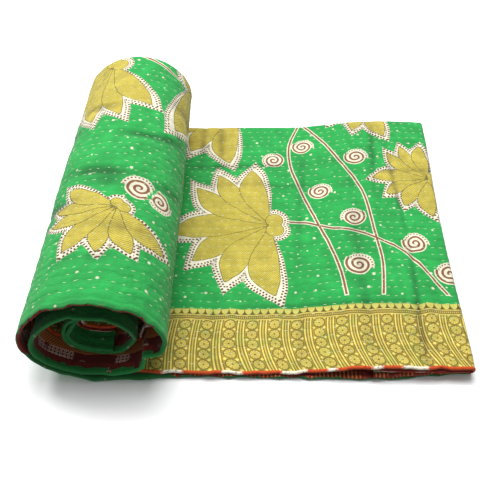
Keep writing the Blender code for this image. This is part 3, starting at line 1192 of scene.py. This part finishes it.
def front_finish(looks, sizes, half_width):
    """The printed front cloth, worn and faded in streaks, with painted shade in its creases and in
    the roll's inner turns.
    """
    finish = Finish("printed_front_cotton")
    cloth = Print(finish, looks, half_width)
    along, across = cloth.along, cloth.across
    weave = cloth_weave(finish, along, across)
    worn = finish.noise(cloth.place, 95.0, 3.0, 0.6)
    streaks = finish.noise(finish.vector(along * 1.6, across * 0.35), 70.0, 3.0, 0.6)
    # Painted shade: darker in the roll's inner turns and in the troughs of the creases
    inner_turn_shade = along.below(INNER_TURN, 0.03)
    shade = (0.62 + weave * 0.26 + worn * 0.24 + streaks * 0.34) * (1.0 - inner_turn_shade * 0.34)
    colour = finish.shade(cloth.colour, shade * (1.0 - cloth.painted_shade * 0.66))
    drawn = finish.noise(finish.vector(along * 1.6, across), 75.0, 2.0)
    crumple = finish.noise(finish.vector(along * 0.7, across * 1.5), 120.0, 4.0, 0.6)
    height = row_rise(finish, across, sizes) * drawn * 0.45 + crumple
    return dress_cloth(finish, colour, 0.74 + worn * 0.16, height, 0.0026, weave)


def back_finish(looks, sizes, half_width):
    """The back cloth: dark red with fine bars, a lace band, and a hem of two colours."""
    finish = Finish("printed_back_cotton")
    along, across = finish.stored("cloth")[:2]
    place = finish.vector(along, across)
    red, red_deep = looks.back_red, looks.back_red_deep
    colour = finish.mix(finish.noise(place, 40.0, 3.0), red, red_deep)

    # Fine bars in rows
    bars = (along + across * BAR_LEAN).stripes(BAR_PITCH, 0.22, 0.12)
    row = across.stripes(BAR_ROW_PITCH, 0.36, 0.04)
    colour = finish.mix(bars * row * 0.60 + row * 0.28, colour, looks.back_gold)

    # Lace band inside the lower hem
    from_edge = 2 * half_width - across
    ring_x = ((along / LACE_PITCH) % 1.0 - 0.5) * 2.0
    ring_y = ((from_edge / LACE_ROW_PITCH) % 1.0 - 0.5) * 2.0
    in_lace = from_edge.below(LACE_WIDTH, SOFT)
    lace = distance(ring_x, ring_y).near(0.62, 0.20, 0.2) * in_lace
    lace_edge = abs(from_edge - LACE_MIDDLE).near(LACE_LINES, 0.0006, SOFT)
    lace_edge = lace_edge * along.stripes(LACE_TOOTH_PITCH, 0.25, 0.1)
    shown = finish.noise(place, 38.0, 1.0).below(0.47, 0.06)
    colour = finish.mix(in_lace, colour, red_deep)
    colour = finish.mix(finish.most(lace, lace_edge) * shown * 0.85, colour, looks.lace)

    # Hem of two colours over the upper edge
    pieces = finish.noise(finish.vector(along, 0.0), 27.0, 0.0)
    wander = finish.noise(place, 300.0, 3.0) * 0.12
    hem = finish.mix((pieces + wander).below(0.52, 0.04), looks.hem_orange, looks.cream)
    hem = finish.mix(finish.noise(place, 240.0, 3.0).below(0.42, 0.08) * 0.6, hem, red)
    colour = finish.mix((across + wander * 0.012).below(-0.0034, 0.0010), colour, hem)

    weave = cloth_weave(finish, along, across)
    colour = finish.shade(colour, 0.80 + weave * 0.36)
    crumple = finish.noise(place, 110.0, 4.0, 0.6)
    height = row_rise(finish, across, sizes) * 0.4 + crumple * 0.7
    return dress_cloth(finish, colour, 0.78 + weave * 0.12, height, 0.0011, weave)


def thread_finish(name, colour):
    """Cotton quilting thread."""
    finish = Finish(name)
    place = finish.node("ShaderNodeTexCoord", {}, {}, output=3)
    twist = finish.noise(place, 900.0, 2.0)
    finish.put(finish.shader.inputs["Base Color"], finish.shade(colour, 0.82 + twist * 0.3))
    finish.put(finish.shader.inputs["Roughness"], 0.65 + twist * 0.2)
    finish.put(finish.shader.inputs["Normal"], finish.bump(twist, 0.4, 0.0002))
    return finish.material


def dress_sheet(piece, node, surface):
    """Hides the solid that a finished sheet stands for, and attaches the sheet to the root body.
    """
    length = float(surface.along[-1] - surface.along[0])
    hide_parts(node)
    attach(piece, "root")


def make_front(sizes, looks):
    """The front cloth, on both halves, with its turned hem at the lower edge."""
    surface = quilt_surface()
    keep_lower, keep_upper = (surface.stations[:, 3] > 0), (surface.stations[:, 4] > 0)
    from_edges = np.minimum(surface.across, 2 * surface.half_width - surface.across)
    relief = puckers(surface.along[:, None], surface.across, sizes.row_pitch) * PUCKER_HEIGHT
    relief = relief * eased(from_edges, PUCKER_START, PUCKER_START + PUCKER_FADE)
    front = surface.middle + surface.out * (HALF_QUILT + relief)[..., None]
    hem, lengths = surface.hem(0, LOWER_HEM_ROWS, 1)
    points = np.concatenate([hem[:, ::-1], front], axis=1)
    folded = 2 * surface.half_width + np.tile(lengths[::-1], (len(hem), 1))
    across = np.concatenate([folded, surface.across], axis=1)
    along = np.repeat(surface.along[:, None], across.shape[1], axis=1)
    columns = across.shape[1]
    seam = surface.seam + len(lengths)
    lower, upper = np.flatnonzero(keep_lower), np.flatnonzero(keep_upper)
    both = np.flatnonzero(keep_lower | keep_upper)
    faces = grid_faces(lower, np.arange(0, seam), columns)
    faces += seam_faces(lower, both, seam, seam - 1, columns)
    faces += seam_faces(upper, both, seam, seam + 1, columns)
    faces += grid_faces(upper, np.arange(seam + 1, columns), columns)
    points, faces, used = compact(points.reshape(-1, 3), faces)
    places = np.stack([along.ravel()[used], across.ravel()[used]], axis=1)
    # Painted shade of the creases, none on the hem
    painted_shade = np.hstack([np.zeros((len(hem), len(lengths))), surface.painted_shade]).ravel()[used]
    material = front_finish(looks, sizes, surface.half_width)
    piece = mesh_object("front_print", points, faces, [material])
    petals, band, along_band = flower_fields(places, surface.half_width)
    put_attribute(piece.data, "cloth", np.column_stack([places, painted_shade]))
    put_attribute(piece.data, "petals_a", petals[:, :3])
    put_attribute(piece.data, "petals_b", petals[:, 3:6])
    put_attribute(piece.data, "petals_c", np.column_stack([petals[:, 6:], band]))
    put_attribute(piece.data, "band_dots", along_band)
    put_attribute(piece.data, "vines", vine_fields(places, surface.half_width))
    put_attribute(piece.data, "curls", curl_fields(places, surface.half_width))
    dress_sheet(piece, "front_cloth", surface)


def make_back(sizes, looks):
    """The back cloth, with its turned hem of two colours at the upper edge."""
    surface = quilt_surface()
    kept = np.flatnonzero(surface.stations[:, 4] > 0)
    back = surface.middle - surface.out * HALF_QUILT
    hem, lengths = surface.hem(-1, UPPER_HEM_ROWS, -1)
    points = np.concatenate([back, hem], axis=1)
    folded = np.tile(-lengths, (len(hem), 1))
    across = np.concatenate([surface.across, folded], axis=1)
    along = np.repeat(surface.along[:, None], across.shape[1], axis=1)
    count = surface.across.shape[1]
    insets = len(NEAR_INSETS)
    fold_start = surface.seam - FOLD_STEPS // 2
    every = [*range(insets), *range(insets + BACK_ROW_STEP - 1, fold_start, BACK_ROW_STEP)]
    fold = [*range(fold_start, fold_start + FOLD_STEPS + 1)]
    mirrored = [count - 1 - index for index in reversed(every)]
    columns = np.array([*every, *fold, *mirrored, *range(count, count + len(lengths))])
    faces = [face[::-1] for face in grid_faces(kept, columns, across.shape[1])]
    points, faces, used = compact(points.reshape(-1, 3), faces)
    places = np.stack([along.ravel()[used], across.ravel()[used]], axis=1)
    material = back_finish(looks, sizes, surface.half_width)
    piece = mesh_object("back_print", points, faces, [material])
    put_attribute(piece.data, "cloth", np.column_stack([places, np.zeros(len(places))]))
    dress_sheet(piece, "back_cloth", surface)


def level_line(values, across, level):
    """Each station's vector at one distance across the cloth."""
    return np.array([
        [np.interp(level, row[::-1], values[index, ::-1, axis]) for axis in range(3)]
        for index, row in enumerate(across)
    ])


def along_line(spots, along, line):
    """Vectors at these distances along a line of stations."""
    return np.stack([np.interp(spots, along, line[:, axis]) for axis in range(3)], 1)


def stitch_seats(area, sizes, seed):
    """Places, directions and normals of the running stitches in one area."""
    surface = quilt_surface()
    start, end, low, high = area[1:]
    main = surface.main_run()
    rows = slice(main.start, main.stop + STATION_RUNS[MAIN_RUNS.stop][3])
    along, across, outward = surface.along[rows], surface.across[rows], surface.out[rows]
    front = surface.middle[rows] + outward * HALF_QUILT
    random = np.random.default_rng(seed)
    places, ways, outs = [], [], []
    first = math.ceil(low * surface.half_width / sizes.row_pitch)
    last = math.floor(high * surface.half_width / sizes.row_pitch)
    for row in range(first, last + 1):
        line = level_line(front, across, row * sizes.row_pitch)
        out = level_line(outward, across, row * sizes.row_pitch)
        spots = np.arange(start, end, sizes.stitch_pitch) + random.uniform(0, sizes.stitch_pitch)
        spots = spots + random.uniform(-STITCH_JITTER, STITCH_JITTER, len(spots))
        spots = spots[(spots < end) & (random.uniform(0, 1, len(spots)) > MISSED_STITCHES)]
        place = along_line(spots, along, line)
        way = unit(along_line(spots + WAY_STEP, along, line) - place)
        normal = along_line(spots, along, out)
        side = np.cross(normal, way)
        sway = ROW_SWAY * np.sin(spots * ROW_SWAY_PER_METRE + row * ROW_SWAY_SHIFT)
        sway = sway + random.uniform(-ROW_SIDE, ROW_SIDE)
        shift = random.uniform(-STITCH_SIDE, STITCH_SIDE, (len(spots), 1))
        place += side * (sway[:, None] + shift)
        way = unit(way + side * random.uniform(-STITCH_TURN, STITCH_TURN, (len(spots), 1)))
        places.append(place)
        ways.append(way)
        outs.append(unit(normal))
    return np.concatenate(places), np.concatenate(ways), np.concatenate(outs)


def stitch_tree(material):
    """Geometry Nodes that lay one small stitch on each seat."""
    tree = bpy.data.node_groups.new("Running stitches", "GeometryNodeTree")
    tree.interface.new_socket("Seats", in_out="INPUT", socket_type="NodeSocketGeometry")
    for name in ("Stitch Length", "Thread Width", "Thread Height"):
        tree.interface.new_socket(name, in_out="INPUT", socket_type="NodeSocketFloat")
    tree.interface.new_socket("Seed", in_out="INPUT", socket_type="NodeSocketInt")
    tree.interface.new_socket("Stitches", in_out="OUTPUT", socket_type="NodeSocketGeometry")
    nodes, links = tree.nodes, tree.links
    given = nodes.new("NodeGroupInput")
    result = nodes.new("NodeGroupOutput")

    def node(kind, settings=(), **inputs):
        made = nodes.new(kind)
        for name, value in settings:
            setattr(made, name, value)
        for name, value in inputs.items():
            socket = made.inputs[name.replace("_", " ")]
            if isinstance(value, bpy.types.NodeSocket):
                links.new(value, socket)
            else:
                socket.default_value = value
        return made

    def named(name):
        return node("GeometryNodeInputNamedAttribute", (("data_type", "FLOAT_VECTOR"),),
                    Name=name).outputs["Attribute"]

    ball = node("GeometryNodeMeshUVSphere", Segments=6, Rings=4, Radius=0.5)
    turn = node("FunctionNodeAxesToRotation", (("primary_axis", "X"), ("secondary_axis", "Z")))
    links.new(named("way"), turn.inputs[0])
    links.new(named("out"), turn.inputs[1])
    vary = node("FunctionNodeRandomValue", (("data_type", "FLOAT"),))
    vary.inputs[2].default_value, vary.inputs[3].default_value = STITCH_SHARES
    links.new(given.outputs["Seed"], vary.inputs["Seed"])
    length = node("ShaderNodeMath", (("operation", "MULTIPLY"),))
    links.new(given.outputs["Stitch Length"], length.inputs[0])
    links.new(vary.outputs[1], length.inputs[1])
    size = node("ShaderNodeCombineXYZ", X=length.outputs[0], Y=given.outputs["Thread Width"],
                Z=given.outputs["Thread Height"])
    seats = node("GeometryNodeMeshToPoints", Mesh=given.outputs["Seats"])
    laid = node("GeometryNodeInstanceOnPoints", Points=seats.outputs[0],
                Instance=ball.outputs["Mesh"], Rotation=turn.outputs[0], Scale=size.outputs[0])
    real = node("GeometryNodeRealizeInstances", Geometry=laid.outputs[0])
    dressed = node("GeometryNodeSetMaterial", Geometry=real.outputs[0], Material=material)
    links.new(dressed.outputs[0], result.inputs[0])
    return tree


def make_stitches(sizes, looks):
    """Rows of running stitches over the outside of the quilt."""
    material = thread_finish("quilting_thread", looks.thread)
    tree = stitch_tree(material)
    values = {"Stitch Length": sizes.stitch_length, "Thread Width": sizes.thread_width,
              "Thread Height": sizes.thread_width * THREAD_FLATNESS, "Seed": LENGTH_SEED}
    for seed, area in enumerate(STITCH_AREAS, start=FIRST_ROW_SEED):
        places, ways, outs = stitch_seats(area, sizes, seed)
        seats = mesh_object("seats", places, [], [])
        put_attribute(seats.data, "way", ways)
        put_attribute(seats.data, "out", outs)
        sew = seats.modifiers.new("Stitches", "NODES")
        sew.node_group = tree
        for item in tree.interface.items_tree:
            if item.in_out == "INPUT" and item.name in values:
                sew[item.identifier] = values[item.name]
        graph = bpy.context.evaluated_depsgraph_get()
        mesh = bpy.data.meshes.new_from_object(seats.evaluated_get(graph))
        mesh.name = area[0]
        mesh.shade_smooth()
        bpy.data.objects.remove(seats)
        piece = bpy.data.objects.new(area[0], mesh)
        bpy.context.scene.collection.objects.link(piece)
        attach(piece, "root")


def area_light(name, place, size, power):
    """A round light that shines at the origin."""
    light = bpy.data.lights.new(name, "AREA")
    light.shape = "DISK"
    light.size = size
    light.energy = power
    thing = bpy.data.objects.new(name, light)
    thing.location = place
    thing.rotation_euler = (-Vector(place)).to_track_quat("-Z", "Y").to_euler()
    bpy.context.scene.collection.objects.link(thing)


def make_studio(sizes):
    """White floor, soft lights and the camera."""
    scene = bpy.context.scene
    finish = Finish("white_floor")
    finish.put(finish.shader.inputs["Base Color"], rgba(WHITE_FLOOR))
    finish.put(finish.shader.inputs["Roughness"], 0.9)
    half = FLOOR_SIZE / 2
    corners = [(-half, -half), (half, -half), (half, half), (-half, half)]
    points = np.array([(x, y, -FLOOR_DROP) for x, y in corners])
    floor = mesh_object("floor", points, [[0, 1, 2, 3]], [finish.material])
    floor.visible_diffuse = False
    world = bpy.data.worlds.new("Studio")
    world.use_nodes = True
    background = world.node_tree.nodes["Background"]
    background.inputs["Color"].default_value = rgba((1.0, 1.0, 1.0))
    background.inputs["Strength"].default_value = sizes.surround
    scene.world = world
    area_light("key", KEY_PLACE, KEY_SIZE, sizes.key)
    area_light("above", ABOVE_PLACE, ABOVE_SIZE, sizes.above)
    camera = bpy.data.cameras.new("camera")
    camera.lens = CAMERA_LENS
    camera.sensor_width = SENSOR
    thing = bpy.data.objects.new("camera", camera)
    thing.location = CAMERA_PLACE
    thing.rotation_euler = (math.radians(CAMERA_TILT), 0.0, math.radians(CAMERA_TURN))
    scene.collection.objects.link(thing)
    scene.camera = thing
    scene.view_settings.view_transform = "Standard"


def colour_property(name, description, default):
    return bpy.props.FloatVectorProperty(name=name, description=description, subtype="COLOR",
                                         size=3, min=0.0, max=1.0, default=default)


def length_property(name, description, default):
    return bpy.props.FloatProperty(name=name, description=description, unit="LENGTH",
                                   subtype="DISTANCE", min=0.0, precision=5, default=default)


class QUILT_PG_sizes(bpy.types.PropertyGroup):
    """Sizes that a user may change."""

    row_pitch: length_property("Row pitch", "Distance between rows of stitches", 0.0125)
    stitch_pitch: length_property("Stitch pitch", "Distance from stitch to stitch", 0.0125)
    stitch_length: length_property("Stitch length", "Length of one stitch on top", 0.0060)
    thread_width: length_property("Thread width", "Width of the quilting thread", 0.0009)
    surround: bpy.props.FloatProperty(name="Surround", description="Light from all round",
                                      min=0.0, default=0.36)
    key: bpy.props.FloatProperty(name="Key light", description="Power of the light from the left",
                                 min=0.0, unit="POWER", default=16.0)
    above: bpy.props.FloatProperty(name="Light above", description="Power of the light above",
                                   min=0.0, unit="POWER", default=66.0)


class QUILT_PG_looks(bpy.types.PropertyGroup):
    """Colours that a user may change."""

    green: colour_property("Green", "Field of the front cloth", (0.008, 0.255, 0.042))
    green_light: colour_property("Light green", "Paler patches", (0.019, 0.43, 0.084))
    # Painted shade over the lower hem's rim
    green_hem_shade: colour_property("Deep green", "Hem of the lower edge", (0.008, 0.075, 0.020))
    cream: colour_property("Cream", "Bands, dots and outlines", (0.78, 0.74, 0.58))
    brown: colour_property("Brown", "Vines and dots", (0.23, 0.095, 0.035))
    brown_deep: colour_property("Deep brown", "Dots of the bands", (0.115, 0.045, 0.018))
    gold: colour_property("Gold", "Petals", (0.58, 0.49, 0.064))
    gold_light: colour_property("Light gold", "Paler petals", (0.66, 0.57, 0.096))
    gold_dark: colour_property("Dark gold", "Hatching of the petals", (0.34, 0.26, 0.035))
    olive: colour_property("Olive", "Outlines of the petals", (0.16, 0.13, 0.020))
    border_light: colour_property("Light border", "Lines and rosettes", (0.80, 0.65, 0.145))
    border_middle: colour_property("Border", "Ground of the border", (0.38, 0.28, 0.038))
    border_dark: colour_property("Dark border", "Outlines in the border", (0.13, 0.085, 0.013))
    thread: colour_property("Thread", "Quilting thread", (0.60, 0.67, 0.44))
    hem_orange: colour_property("Hem orange", "Hem of the upper edge", (0.55, 0.075, 0.012))
    back_red: colour_property("Back red", "Field of the back cloth", (0.25, 0.018, 0.010))
    back_red_deep: colour_property("Deep red", "Darker patches", (0.10, 0.008, 0.005))
    back_gold: colour_property("Back gold", "Fine bars of the back", (0.62, 0.24, 0.050))
    lace: colour_property("Lace", "Lace band of the back", (0.80, 0.56, 0.47))


class QUILT_OT_front(bpy.types.Operator):
    """Make the front cloth with its print and its lower hem"""

    bl_idname = "quilt.front"
    bl_label = "Front cloth"

    def execute(self, context):
        make_front(context.scene.quilt_sizes, context.scene.quilt_looks)
        return {"FINISHED"}


class QUILT_OT_back(bpy.types.Operator):
    """Make the back cloth with its upper hem"""

    bl_idname = "quilt.back"
    bl_label = "Back cloth"

    def execute(self, context):
        make_back(context.scene.quilt_sizes, context.scene.quilt_looks)
        return {"FINISHED"}


class QUILT_OT_stitches(bpy.types.Operator):
    """Sew the rows of running stitches"""

    bl_idname = "quilt.stitches"
    bl_label = "Running stitches"

    def execute(self, context):
        make_stitches(context.scene.quilt_sizes, context.scene.quilt_looks)
        return {"FINISHED"}


class QUILT_OT_studio(bpy.types.Operator):
    """Set up the floor, the lights and the camera"""

    bl_idname = "quilt.studio"
    bl_label = "Studio"

    def execute(self, context):
        make_studio(context.scene.quilt_sizes)
        return {"FINISHED"}


class QUILT_PT_panel(bpy.types.Panel):
    """The quilt's tools, sizes and colours"""

    bl_label = "Kantha quilt"
    bl_space_type = "VIEW_3D"
    bl_region_type = "UI"
    bl_category = "Quilt"

    def draw(self, context):
        for tool in TOOLS:
            self.layout.operator(tool.bl_idname)
        for group in (context.scene.quilt_sizes, context.scene.quilt_looks):
            for name in group.__annotations__:
                self.layout.prop(group, name)


TOOLS = (QUILT_OT_studio, QUILT_OT_front, QUILT_OT_back, QUILT_OT_stitches)
CLASSES = (QUILT_PG_sizes, QUILT_PG_looks, *TOOLS, QUILT_PT_panel)


def register():
    for item in CLASSES:
        bpy.utils.register_class(item)
    bpy.types.Scene.quilt_sizes = bpy.props.PointerProperty(type=QUILT_PG_sizes)
    bpy.types.Scene.quilt_looks = bpy.props.PointerProperty(type=QUILT_PG_looks)


def unregister():
    del bpy.types.Scene.quilt_looks
    del bpy.types.Scene.quilt_sizes
    for item in reversed(CLASSES):
        bpy.utils.unregister_class(item)


def main():
    register()
    bpy.ops.quilt.studio()
    bpy.ops.quilt.front()
    bpy.ops.quilt.back()
    bpy.ops.quilt.stitches()
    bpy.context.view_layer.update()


if __name__ == "__main__":
    main()
